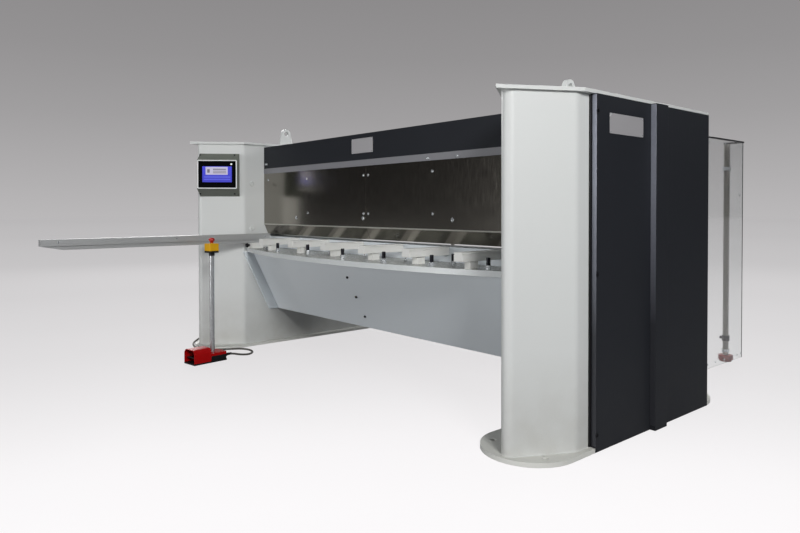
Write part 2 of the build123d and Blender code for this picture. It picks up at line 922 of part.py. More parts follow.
# Back gauge: two channel arms with a screw in each, carriages and the stop bar
gauge_arm_x = inner_face - gauge_arm_margin
gauge_arm_back = beam_back + gauge_arm_length
gauge_screw_z = gauge_arm_bottom + gauge_screw_rise
gauge_bar_y = gauge_bar_back - shear_plane
channel = gauge_arm_width / 2 - gauge_arm_wall
with BuildPart() as back_gauge_arms:
    for x in (-gauge_arm_x, gauge_arm_x):
        block(
            (x - gauge_arm_width / 2, x + gauge_arm_width / 2),
            (beam_back, gauge_arm_back),
            (gauge_arm_bottom, gauge_arm_top),
        )
        block(
            (x - channel, x + channel),
            (beam_back + gauge_arm_end, gauge_arm_back - gauge_arm_end),
            (gauge_arm_bottom, gauge_arm_top - gauge_arm_wall),
            Mode.SUBTRACT,
        )
save(back_gauge_arms, "back_gauge_arms")

with BuildPart() as back_gauge_screws:
    with BuildSketch(Plane.XZ.offset(-beam_back - gauge_arm_end)):
        with Locations((-gauge_arm_x, gauge_screw_z), (gauge_arm_x, gauge_screw_z)):
            Circle(gauge_screw_radius)
    extrude(amount=-(gauge_arm_length - 2 * gauge_arm_end))
save(back_gauge_screws, "back_gauge_screws")

nut_start = gauge_bar_y + (carriage_length - nut_length) / 2
with BuildPart() as back_gauge_carriages:
    for x in (-gauge_arm_x, gauge_arm_x):
        block(
            (x - gauge_arm_width / 2, x + gauge_arm_width / 2),
            (gauge_bar_y, gauge_bar_y + carriage_length),
            (bar_top, gauge_arm_bottom),
        )
        block(
            (x - gauge_screw_radius - nut_wall, x + gauge_screw_radius + nut_wall),
            (nut_start, nut_start + nut_length),
            (gauge_arm_bottom, gauge_screw_z + gauge_screw_radius + nut_wall),
        )
    with BuildSketch(Plane.XZ.offset(-nut_start)):
        with Locations((-gauge_arm_x, gauge_screw_z), (gauge_arm_x, gauge_screw_z)):
            Circle(gauge_screw_radius + nut_clearance)
    extrude(amount=-nut_length, mode=Mode.SUBTRACT)
save(back_gauge_carriages, "back_gauge_carriages")

bar_end = inner_face - gauge_bar_margin
with BuildPart() as back_gauge_bar:
    block((-bar_end, bar_end), (gauge_bar_y, gauge_bar_y + gauge_bar_depth), (bar_bottom, bar_top))
save(back_gauge_bar, "back_gauge_bar")

# Sheet chute on a rail at each column
chute_top = table_height - chute_drop
chute_end = -shear_plane + chute_length
chute_outlines = (
    (0, chute_thickness, -inner_face + fit_gap, inner_face - fit_gap),
    (chute_thickness, chute_thickness + chute_rail_thickness, -inner_face, -inner_face + chute_rail_width),
    (chute_thickness, chute_thickness + chute_rail_thickness, inner_face - chute_rail_width, inner_face),
)
with BuildPart() as sheet_chute:
    for upper, lower, start, end in chute_outlines:
        with BuildSketch(Plane.YZ.offset(start)):
            Polygon(
                (-shear_plane, chute_top - upper),
                (chute_end, chute_top - chute_fall - upper),
                (chute_end, chute_top - chute_fall - lower),
                (-shear_plane, chute_top - lower),
                align=None,
            )
        extrude(amount=end - start)
save(sheet_chute, "sheet_chute")
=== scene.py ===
"""Finishes, small hardware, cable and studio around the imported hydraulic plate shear."""

import math
import random

import bmesh
import bpy
from bpy.props import FloatProperty, FloatVectorProperty, IntProperty, PointerProperty
from mathutils import Matrix, Vector, geometry


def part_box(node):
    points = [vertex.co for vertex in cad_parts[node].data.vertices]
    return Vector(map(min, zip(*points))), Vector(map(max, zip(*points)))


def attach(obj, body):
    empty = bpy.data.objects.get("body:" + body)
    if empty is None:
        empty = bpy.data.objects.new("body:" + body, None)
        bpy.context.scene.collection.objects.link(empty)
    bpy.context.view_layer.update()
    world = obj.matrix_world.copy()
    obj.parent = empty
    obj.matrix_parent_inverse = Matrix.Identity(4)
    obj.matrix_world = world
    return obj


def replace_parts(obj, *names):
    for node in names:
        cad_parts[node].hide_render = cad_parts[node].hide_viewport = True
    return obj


bl_info = {
    "name": "Hydraulic Plate Shear",
    "version": (1, 0, 0),
    "blender": (4, 5, 0),
    "location": "View3D > Sidebar > Plate Shear",
    "description": "Dresses the packed plate shear with its finishes, hardware and cable",
    "category": "Add Mesh",
}

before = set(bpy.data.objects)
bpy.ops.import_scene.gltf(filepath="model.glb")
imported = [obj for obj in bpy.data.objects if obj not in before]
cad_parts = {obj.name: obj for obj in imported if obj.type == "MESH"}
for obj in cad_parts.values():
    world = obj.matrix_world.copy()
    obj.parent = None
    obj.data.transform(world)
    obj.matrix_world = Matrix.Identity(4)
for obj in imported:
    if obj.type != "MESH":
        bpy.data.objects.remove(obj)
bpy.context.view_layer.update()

MM = 0.001
BODY = "machine"
SIDES = (("left", -1), ("right", 1))
STAND_TURN = 7.5  # Degrees by which the pedal and its stop box are turned to the left
X = Vector((1, 0, 0))
Y = Vector((0, 1, 0))
Z = Vector((0, 0, 1))


def linear(text):
    """A linear RGBA colour from an sRGB hex value."""
    values = [int(text[i:i + 2], 16) / 255 for i in (1, 3, 5)]
    return (*(v / 12.92 if v <= 0.04045 else ((v + 0.055) / 1.055) ** 2.4 for v in values), 1.0)


def colour(name, text, note):
    """A colour property with an sRGB hex value for its default."""
    return FloatVectorProperty(
        name=name, description=note, subtype="COLOR", size=4, min=0, max=1, default=linear(text)
    )


def length(name, millimetres, note):
    """A length property with a default in millimetres."""
    return FloatProperty(
        name=name, description=note, subtype="DISTANCE", unit="LENGTH", min=0, default=millimetres * MM
    )


class ShearColours(bpy.types.PropertyGroup):
    column: colour("Columns", "#DCDEDC", "Light grey powder coat of the columns and plates")
    cover: colour("Covers", "#26282D", "Anthracite powder coat of the sheet covers")
    strip: colour("Beam strip", "#848488", "Grey of the upper beam below its cover")
    # The table's grey is set lighter than the columns' as painted light, against the shade on the
    # downward-facing apron.
    table: colour("Table", "#E2E8EC", "Grey enamel of the table's apron and bed")
    plate: colour("Table plate", "#D4D8D8", "Pale enamel of the table plate")
    arm: colour("Support arms", "#E6E6E2", "Off-white enamel of the support arms")
    guard: colour("Guard", "#8E8A82", "Warm grey of the rolled guard sheets")
    enclosure: colour("Control box", "#6B7065", "Olive grey of the control box")
    red: colour("Pedal", "#B20608", "Red moulding of the foot pedal")
    yellow: colour("Stop box", "#E2AA06", "Yellow moulding of the emergency stop box")
    stop: colour("Stop button", "#B3201C", "Red moulding of the emergency stop button")


class ShearSizes(bpy.types.PropertyGroup):
    screw_head: length("Socket head", 21, "Diameter of the socket head screws on the table")
    nut_width: length("Nut", 24, "Width across flats of the table's nuts")
    lock_head: length("Cover lock", 16, "Diameter of the quarter-turn locks of the covers")
    guard_head: length("Guard screw", 14, "Diameter of the button heads on the guard")
    plate_width: length("Cover plate", 280, "Width of the bare plate on the right cover")
    weld_bead: length("Weld bead", 7, "Width of the weld round the foot of each column")
    grain: length("Coat grain", 7, "Grain of the structured coat, drawn coarser than the real one")
    seed: IntProperty(name="Seed", description="Start value of every random draw", default=8, min=0)


# Geometry helpers


def facing(point, normal, up=Z):
    """A matrix at a point, with its Z along the normal and its Y as near to up as it can be."""
    z = Vector(normal).normalized()
    side = Vector(up).cross(z)
    if side.length < 1e-6:
        side = Vector(X)
    x = side.normalized()
    return Matrix.Translation(Vector(point)) @ Matrix((x, z.cross(x), z)).transposed().to_4x4()


def regular(sides, radius):
    """The corners of a regular outline."""
    angles = [2 * math.pi * i / sides for i in range(sides)]
    return [(radius * math.cos(a), radius * math.sin(a)) for a in angles]


def bridge(mesh, low, high):
    """Joins two rings of as many corners by a band of faces."""
    for i in range(len(low)):
        j = (i + 1) % len(low)
        mesh.faces.new((low[i], low[j], high[j], high[i]))


def lathe(mesh, profile, place, sides=24):
    """Turns (radius, height) pairs about Z. A pair with radius 0 closes its end."""
    rings = []
    for radius, height in profile:
        corners = regular(sides, radius) if radius else [(0, 0)]
        rings.append([mesh.verts.new(place @ Vector((x, y, height))) for x, y in corners])
    for low, high in zip(rings, rings[1:]):
        if len(low) == len(high):
            bridge(mesh, low, high)
            continue
        for i in range(sides):
            j = (i + 1) % sides
            if len(low) == 1:
                mesh.faces.new((low[0], high[j], high[i]))
            else:
                mesh.faces.new((low[i], low[j], high[0]))


def prism(mesh, outline, bottom, top, place):
    """Raises an outline of (x, y) pairs, given anticlockwise, from one height to another."""
    low = [mesh.verts.new(place @ Vector((x, y, bottom))) for x, y in outline]
    high = [mesh.verts.new(place @ Vector((x, y, top))) for x, y in outline]
    mesh.faces.new(list(reversed(low)))
    mesh.faces.new(high)
    bridge(mesh, low, high)


def rounded(width, height, radius, steps=5):
    """The outline of a rectangle with round corners."""
    points = []
    for corner, (sx, sy) in enumerate(((1, 1), (-1, 1), (-1, -1), (1, -1))):
        for i in range(steps + 1):
            angle = math.pi / 2 * (corner + i / steps)
            x = sx * (width / 2 - radius) + radius * math.cos(angle)
            y = sy * (height / 2 - radius) + radius * math.sin(angle)
            points.append((x, y))
    return points


def piece(name, mesh, material, body=BODY, bevel=0.0, sharp=35):
    """Makes an object of a bmesh, shades it, and lets it ride on its body."""
    data = bpy.data.meshes.new(name)
    bmesh.ops.recalc_face_normals(mesh, faces=mesh.faces)
    for face in mesh.faces:
        face.smooth = True
    for edge in mesh.edges:
        if len(edge.link_faces) != 2 or edge.calc_face_angle(0) > math.radians(sharp):
            edge.smooth = False
    mesh.to_mesh(data)
    mesh.free()
    data.materials.append(material)
    made = bpy.data.objects.new(name, data)
    bpy.context.scene.collection.objects.link(made)
    if bevel:
        edges = made.modifiers.new("edges", "BEVEL")
        edges.width = bevel
        edges.segments = 2
        edges.limit_method = "ANGLE"
        edges.angle_limit = math.radians(sharp)
    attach(made, body)
    return made


# Hardware, each drawn with its seat at height 0


def socket_screw(mesh, place, head, height):
    """A cap screw with a round head and a hexagon socket."""
    r = head / 2
    outside = [(0, 0), (r, 0), (r, height * 0.92), (r * 0.92, height), (r * 0.62, height)]
    socket = [(r * 0.62, height), (r * 0.55, height * 0.98), (r * 0.55, height * 0.45), (0, height * 0.45)]
    lathe(mesh, outside, place, 20)
    lathe(mesh, socket, place, 20)


def button_screw(mesh, place, head):
    """A low round head with a hexagon socket, on a thin washer."""
    r = head / 2
    shape = [
        (0, 0), (1.25, 0), (1.25, 0.15), (1, 0.15), (0.95, 0.4), (0.7, 0.68), (0.42, 0.78), (0.38, 0.72),
        (0.38, 0.35), (0, 0.35),
    ]
    lathe(mesh, [(r * across, r * up) for across, up in shape], place, 20)


def hex_nut(mesh, place, flats, height):
    """A nut with chamfered corners round a threaded end."""
    corner = flats / math.sqrt(3)
    prism(mesh, regular(6, corner), 0, height * 0.9, place)
    lathe(mesh, [(corner * 0.9, height * 0.88), (corner * 0.78, height), (corner * 0.5, height)], place, 24)
    lathe(mesh, [(corner * 0.5, height), (corner * 0.5, height * 1.25), (0, height * 1.25)], place, 24)


def dome_nut(mesh, place, flats, height):
    """A cap nut: hexagon below, dome above."""
    corner = flats / math.sqrt(3)
    prism(mesh, regular(6, corner), 0, height * 0.45, place)
    steps = 6
    dome = []
    for i in range(steps):
        angle = math.pi / 2 * i / steps
        dome.append((corner * 0.8 * math.cos(angle), height * (0.45 + 0.55 * math.sin(angle))))
    lathe(mesh, [*dome, (0, height)], place, 20)


# Materials


def add(tree, kind, inputs=None, **settings):
    """Adds a node with its settings. An input that is a socket is linked, any other is a value."""
    made = tree.nodes.new(kind)
    for name, value in settings.items():
        setattr(made, name, value)
    for name, value in (inputs or {}).items():
        if isinstance(value, bpy.types.NodeSocket):
            tree.links.new(value, made.inputs[name])
        else:
            made.inputs[name].default_value = value
    return made


def material(name, **sockets):
    """A material, its nodes, its Principled shader with constants set by name, and a point's place."""
    made = bpy.data.materials.new(name)
    made.use_nodes = True
    tree = made.node_tree
    shader = tree.nodes["Principled BSDF"]
    for socket, value in sockets.items():
        shader.inputs[socket.replace("_", " ")].default_value = value
    made.diffuse_color = shader.inputs["Base Color"].default_value
    return made, tree, shader, add(tree, "ShaderNodeTexCoord").outputs["Object"]


def shade(base, factor):
    """The same colour, lighter or darker."""
    return (*(min(1.0, c * factor) for c in base[:3]), 1.0)


def film(tree, surface, value, reach, amounts, tint, patches=None):
    """Lays a tone over a surface: dust, and painted shade. Its amount changes over a value's reach, and
    patches break it up.
    """
    amount = add(
        tree, "ShaderNodeMapRange",
        {"Value": value, "From Min": reach[0], "From Max": reach[1], "To Min": amounts[0],
         "To Max": amounts[1]},
    ).outputs["Result"]
    if patches is not None:
        amount = add(
            tree, "ShaderNodeMath", {0: amount, 1: patches}, operation="MULTIPLY",
        ).outputs["Value"]
    return add(
        tree, "ShaderNodeMix", {"Factor": amount, "A": surface, "B": linear(tint)}, data_type="RGBA",
    ).outputs["Result"]


def roughen(tree, shader, grain, low, high, relief, edge):
    """Lets a grain range between two roughnesses and stand out in relief, with edges rounded."""
    rough = add(tree, "ShaderNodeMapRange", {"Value": grain, "To Min": low, "To Max": high})
    tree.links.new(rough.outputs["Result"], shader.inputs["Roughness"])
    soft = add(tree, "ShaderNodeBevel", {"Radius": edge}, samples=4)
    bump = add(
        tree, "ShaderNodeBump",
        {"Height": grain, "Strength": 1.0, "Distance": relief, "Normal": soft.outputs["Normal"]},
    )
    tree.links.new(bump.outputs["Normal"], shader.inputs["Normal"])


def coated(name, base, roughness, grain, relief, dust=0.0, variation=0.04, ior=1.5, gloss=0.5,
           upward_shade=0.0):
    """A coat with broad drifts of tone and a fine grain, dusty low down, and darker on upward faces by
    painted shade.
    """
    made, tree, shader, where = material(
        name, Base_Color=base, Roughness=roughness, IOR=ior, Specular_IOR_Level=gloss
    )
    drift = add(tree, "ShaderNodeTexNoise", {"Vector": where, "Scale": 1.6, "Detail": 3.0})
    surface = add(
        tree, "ShaderNodeMix",
        {"Factor": drift.outputs["Fac"], "A": shade(base, 1 - variation), "B": shade(base, 1 + variation)},
        data_type="RGBA",
    ).outputs["Result"]
    speck = add(tree, "ShaderNodeTexNoise", {"Vector": where, "Scale": 1 / grain, "Detail": 2.0})
    if dust:
        height = add(tree, "ShaderNodeSeparateXYZ", {"Vector": where}).outputs["Z"]
        patch = add(tree, "ShaderNodeTexNoise", {"Vector": where, "Scale": 9.0, "Detail": 5.0})
        surface = film(tree, surface, height, (0.02, 0.45), (dust, 0.0), "#A8A498", patch.outputs["Fac"])
    if upward_shade:
        # Painted shade: upward faces are darkened, as tops catch less light.
        normal = add(tree, "ShaderNodeNewGeometry").outputs["Normal"]
        upward = add(tree, "ShaderNodeSeparateXYZ", {"Vector": normal}).outputs["Z"]
        surface = film(tree, surface, upward, (0.7, 0.98), (0.0, upward_shade), "#8C8D84")
    tree.links.new(surface, shader.inputs["Base Color"])
    roughen(tree, shader, speck.outputs["Fac"], roughness - 0.05, roughness + 0.08, relief, edge=0.002)
    return made


def metal(name, base, roughness, lines=(1, 1, 1), relief=0.00005, grain=0.002, variation=0.06,
          metallic=1.0, foot_shade=0.0):
    """Metal without paint. lines stretches its grain: a small number along an axis draws long marks
    that way. A metallic below 1 stands for a dull or dirty skin that scatters light. foot_shade is how
    far its foot is darkened by painted shade, where its reflection fades towards the floor."""
    made, tree, shader, where = material(name, Base_Color=base, Roughness=roughness, Metallic=metallic)
    turned = add(tree, "ShaderNodeMapping", {"Vector": where, "Scale": lines}).outputs["Vector"]
    marks = add(
        tree, "ShaderNodeTexNoise", {"Vector": turned, "Scale": 1 / grain, "Detail": 4.0},
    ).outputs["Fac"]
    surface = add(
        tree, "ShaderNodeMix",
        {"Factor": marks, "A": shade(base, 1 - variation), "B": shade(base, 1 + variation)},
        data_type="RGBA",
    ).outputs["Result"]
    if foot_shade:
        # Painted shade: the sheet darkens towards the floor, where its reflection fades.
        height = add(tree, "ShaderNodeSeparateXYZ", {"Vector": where}).outputs["Z"]
        surface = film(tree, surface, height, (0.5, 1.2), (foot_shade, 0.0), "#1C1C1E")
    tree.links.new(surface, shader.inputs["Base Color"])
    roughen(tree, shader, marks, max(0.02, roughness - 0.08), roughness + 0.1, relief, edge=0.001)
    return made


def smeared(name, base, low, high, scale, detail, **sockets):
    """A smooth sheet whose wiping marks range between two roughnesses."""
    made, tree, shader, where = material(name, Base_Color=base, **sockets)
    marks = add(tree, "ShaderNodeTexNoise", {"Vector": where, "Scale": scale, "Detail": detail})
    rough = add(tree, "ShaderNodeMapRange", {"Value": marks.outputs["Fac"], "To Min": low, "To Max": high})
    tree.links.new(rough.outputs["Result"], shader.inputs["Roughness"])
    return made


def make_finishes(tint, size):
    """Every finish, by its slot in the record or by the small part that wears it. Grains are in
    metres. Those finer than 2 mm, such as rolling lines of 0.1 mm, are drawn at 2 to 6 mm to show."""
    made = {}

    # Structured polyester powder coat, light grey: a fine pebbled skin that breaks a highlight into
    # specks. The real grain of about 1.5 mm is drawn coarser so that it shows. Dust dulls the foot.
    made["column_paint"] = coated("structured_powder_coat_light_grey", tint.column, 0.45, size.grain,
                                  0.0006, dust=0.6, variation=0.03)
    # The same coat where people step, its upper face darkened by painted shade.
    made["base_paint"] = coated("trodden_powder_coat_light_grey", linear("#E4E4DE"), 0.5, size.grain,
                                0.0006, dust=0.08, variation=0.05, upward_shade=0.3)
    # Structured powder coat, anthracite: near black with a soft grey sheen where light grazes it.
    made["cover_paint"] = coated("structured_powder_coat_anthracite", tint.cover, 0.5, size.grain * 0.8,
                                 0.0005, dust=0.03, variation=0.1, gloss=0.15)
    # Satin coat of the beam: smoother than the columns', mid grey, with a long shallow ripple.
    made["beam_paint"] = coated("satin_powder_coat_grey", tint.strip, 0.4, 0.02, 0.0001)
    # Table enamel, sprayed: a faint orange-peel ripple in a satin sheen. The real ripple of about
    # 4 mm is drawn at 12 mm so that it shows.
    # Its grey is set lighter than the columns' as painted light, to offset the shade on the downward-facing
    # apron.
    made["table_paint"] = coated("sprayed_table_enamel", tint.table, 0.38, 0.012, 0.00012, variation=0.03)
    # The same enamel on the plate, glossier, its upper face darkened by painted shade.
    made["table_steel"] = coated("sprayed_plate_enamel", tint.plate, 0.24, 0.012, 0.0001, variation=0.03,
                                 upward_shade=0.7)
    # Off-white enamel, sprayed: clean edges and an even satin light along each arm.
    made["arm_paint"] = coated("off_white_satin_enamel", tint.arm, 0.35, 0.012, 0.0001, variation=0.03)
    # Textured powder coat of the sheet-metal enclosure: olive grey, matt, finely grained.
    made["enclosure_paint"] = coated("textured_powder_coat_olive", tint.enclosure, 0.5, 0.004, 0.0003)
    # Grey enamel of the posts: plain and half matt, so that they stay quiet behind the clear sheets.
    made["post_paint"] = coated("satin_enamel_grey", linear("#807E78"), 0.4, 0.01, 0.0001)
    # Cast polyurethane foot: matt, slightly uneven dark red, dusty.
    made["foot_red"] = coated("cast_polyurethane_dark_red", linear("#8E100A"), 0.6, 0.006, 0.0004,
                              dust=0.05, variation=0.1)
    # Cold-rolled sheet, oiled: a soft mirror that shows the dark room and the columns, rolled upright.
    made["guard_steel"] = metal("cold_rolled_sheet_steel", tint.guard, 0.17, lines=(1, 1, 0.06),
                                grain=0.004, relief=0.00003, variation=0.08)
    # The same sheet along its bend, paler: a painted highlight, a line of light along it.
    made["bend_steel"] = metal("sheet_steel_painted_bend_highlight", linear("#BDBCB4"), 0.35, lines=(0.05, 1, 1),
                               grain=0.004, metallic=0.5)
    # Ground tool steel: bright, with grinding lines along the machine.
    made["blade_steel"] = metal("ground_tool_steel", linear("#B9B9B4"), 0.28, lines=(0.05, 1, 1),
                                grain=0.003)
    # Natural anodised aluminium extrusion: even, satin, with faint die lines along its length.
    made["arm_aluminium"] = metal("anodised_aluminium_extrusion", linear("#B8B9B9"), 0.42,
                                  lines=(1, 0.03, 1), grain=0.004, relief=0.00004, variation=0.04,
                                  metallic=0.4)
    # Satin chrome tube: bright bands along the pole.
    made["pole_steel"] = metal("satin_chrome_tube", linear("#BEC0C2"), 0.24, lines=(1, 1, 0.05),
                               grain=0.003, relief=0.00002, variation=0.03, metallic=0.65)
    # Zinc-plated fasteners, slightly blue and uneven: small bright points on the dark sheets.
    made["zinc"] = metal("zinc_plated_steel", linear("#D2D6D9"), 0.25, grain=0.004, metallic=0.75)
    # Pale bluish grey sheet with a faint spangle: a painted sheen on the covers' edges, darkened by painted
    # shade towards the floor.
    made["zinc_sheet"] = metal("pale_sheet_painted_sheen", linear("#A3A6B3"), 0.42, grain=0.01, relief=0.0002,
                               variation=0.14, metallic=0.35, foot_shade=0.88)
    # Black oxide screws: dark, with an oily half gloss.
    made["black_oxide"] = metal("black_oxide_steel", linear("#26262A"), 0.38, grain=0.003)
    # Brushed aluminium of the bare plates: pale and even, with a dull sheen along the brushing.
    made["bare_plate"] = metal("brushed_aluminium_plate", linear("#B6B4B6"), 0.45, lines=(0.04, 0.04, 1),
                               grain=0.003, relief=0.00003, variation=0.04, metallic=0.25)
    # Moulded ABS bezel: warm white, fine eroded texture.
    made["bezel_plastic"] = coated("moulded_abs_white", linear("#F3F3F2"), 0.42, 0.002, 0.00006,
                                   variation=0.015, ior=1.53)
    # Moulded polyamide of the foot pedal: deep satin red with the mould's fine grain.
    made["pedal_red"] = coated("moulded_polyamide_red", tint.red, 0.4, 0.003, 0.00015, variation=0.12,
                               ior=1.53, gloss=0.15)
    # The same polyamide in black: treadle, base, the dark gap strips and knobs, with hardly any gloss.
    made["pedal_black"] = coated("moulded_polyamide_black", linear("#121214"), 0.45, 0.003, 0.0002,
                                 variation=0.12, ior=1.53, gloss=0.25)
    # Moulded polycarbonate of the stop box and its button: smooth, strong colours, a small highlight.
    made["stop_yellow"] = coated("moulded_polycarbonate_yellow", tint.yellow, 0.32, 0.003, 0.00008,
                                 ior=1.58, gloss=0.3)
    made["stop_red"] = coated("moulded_polycarbonate_red", tint.stop, 0.25, 0.003, 0.00005, ior=1.58)
    # PVC sheath, brown grey: dull, scuffed by the floor.
    made["cable_grey"] = coated("pvc_sheath_grey", linear("#4C4944"), 0.55, 0.003, 0.0002, dust=0.1,
                                variation=0.12, ior=1.53)
    # Dark anodised profile of the rear rails: a thin grey line that closes the clear sheets.
    made["rail_dark"] = metal("dark_anodised_profile", linear("#7C7C7E"), 0.35, lines=(1, 0.05, 1),
                              grain=0.004)

    # Float glass over a dark screen: black and mirror-smooth, but for the smears of fingers.
    made["display_glass"] = smeared("display_cover_glass", linear("#08090B"), 0.03, 0.12, 30.0, 4.0,
                                    Roughness=0.06, IOR=1.5)
    # Clear polycarbonate sheet: see-through with a faint grey edge and fine wiping marks.
    # Its IOR is below the usual 1.58, as the real sheets reflect little.
    made["guard_clear"] = smeared("clear_polycarbonate_sheet", linear("#FBFCFC"), 0.0, 0.09, 6.0, 6.0,
                                  Roughness=0.03, IOR=1.4, Transmission_Weight=1.0)

    # Liquid crystal display behind its glass: blue field, lighter bars, a pale panel and grey marks,
    # each glowing a little and paler towards the top.
    for name, text, glow in (
        ("screen_blue", "#4A4CCC", 0.3), ("screen_bars", "#6A70DA", 0.3),
        ("screen_pale", "#C4C0D6", 0.25), ("screen_grey", "#75717C", 0.25),
    ):
        base = linear(text)
        lit, tree, shader, where = material(
            name, Base_Color=base, Roughness=0.2, Emission_Strength=glow
        )
        height = add(tree, "ShaderNodeSeparateXYZ", {"Vector": where}).outputs["Z"]
        fall = add(tree, "ShaderNodeMapRange", {"Value": height, "From Min": 1.2, "From Max": 1.42})
        tone = add(
            tree, "ShaderNodeMix",
            {"Factor": fall.outputs["Result"], "A": shade(base, 0.8), "B": shade(base, 1.15)},
            data_type="RGBA",
        )
        tree.links.new(tone.outputs["Result"], shader.inputs["Base Color"])
        tree.links.new(tone.outputs["Result"], shader.inputs["Emission Color"])
        made[name] = lit
    return made


finish = {}  # Filled by the first operator, read by the others


# Shapes that several pieces share


def at(x, y, z):
    """A point given in millimetres."""
    return Vector((x, y, z)) * MM


def outline_at(node, height):
    """The convex outline of a CAD node's corners at a height."""
    flat = {
        (round(v.co.x, 5), round(v.co.y, 5))
        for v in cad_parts[node].data.vertices if abs(v.co.z - height) < 0.0005
    }
    points = [Vector(p) for p in sorted(flat)]
    return [points[i] for i in geometry.convex_hull_2d(points)]


def sweep(mesh, points, radii, sides=8, closed=False):
    """A round bar through points, with a radius at each."""
    rings = []
    count = len(points)
    for i, point in enumerate(points):
        after = points[(i + 1) % count] if closed or i < count - 1 else point
        before = points[i - 1] if closed or i > 0 else point
        place = facing(point, after - before)
        ring = [place @ Vector((radii[i] * x, radii[i] * y, 0)) for x, y in regular(sides, 1.0)]
        rings.append([mesh.verts.new(p) for p in ring])
    pairs = list(zip(rings, rings[1:]))
    if closed:
        pairs.append((rings[-1], rings[0]))
    for low, high in pairs:
        bridge(mesh, low, high)
    if not closed:
        mesh.faces.new(list(reversed(rings[0])))
        mesh.faces.new(rings[-1])


def lobed(mesh, profile, lobes, depth, place, sides=60):
    """Turns a profile whose radius swells into lobes."""
    rings = []
    for radius, height in profile:
        ring = []
        for i in range(sides):
            angle = 2 * math.pi * i / sides
            r = radius * (1 - depth + depth * math.cos(lobes * angle))
            ring.append(mesh.verts.new(place @ Vector((r * math.cos(angle), r * math.sin(angle), height))))
        rings.append(ring)
    for low, high in zip(rings, rings[1:]):
        bridge(mesh, low, high)
    mesh.faces.new(list(reversed(rings[0])))
    mesh.faces.new(rings[-1])


# Operators, one for each group of pieces


class SHEAR_OT_finishes(bpy.types.Operator):
    """Gives every CAD node its finish"""
    bl_idname = "shear.finishes"
    bl_label = "Finishes"

    def execute(self, context):
        size = context.scene.shear_sizes
        tint = context.scene.shear_colours
        finish.update(make_finishes(tint, size))
        for name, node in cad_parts.items():
            for held in node.material_slots:
                slot = "base_paint" if name.endswith("base_plate") else held.material.name.split(".")[0]
                held.material = finish[slot]
        return {"FINISHED"}


class SHEAR_OT_columns(bpy.types.Operator):
    """Adds the weld round each column's foot and the bosses on the inner faces"""
    bl_idname = "shear.columns"
    bl_label = "Column details"

    def execute(self, context):
        size = context.scene.shear_sizes
        draw = random.Random(size.seed)
        beads = bmesh.new()
        bosses = bmesh.new()
        bead_step = 0.012
        boss_y = -0.468
        ring = [
            (0.020, 0), (0.020, 0.005), (0.018, 0.007), (0.010, 0.007), (0.010, 0.002), (0.009, 0.002),
            (0.008, 0.005), (0, 0.0055),
        ]
        for side, out in SIDES:
            node = f"{side}_column"
            low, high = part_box(node)
            corners = outline_at(node, low.z)
            path = []
            radii = []
            for a, b in zip(corners, corners[1:] + corners[:1]):
                steps = max(1, round((b - a).length / bead_step))
                for i in range(steps):
                    point = a.lerp(b, i / steps)
                    path.append(Vector((*point, low.z + size.weld_bead * 0.1)))
                    radii.append(size.weld_bead * (0.5 + 0.12 * draw.random()))
            sweep(beads, path, radii, sides=6, closed=True)
            face = low.x if out > 0 else high.x
            for z in (1242, 901):
                lathe(bosses, ring, facing((face, boss_y, z * MM), (-out, 0, 0)))
        piece("column_welds", beads, finish["column_paint"])
        piece("column_bosses", bosses, finish["column_paint"])
        return {"FINISHED"}


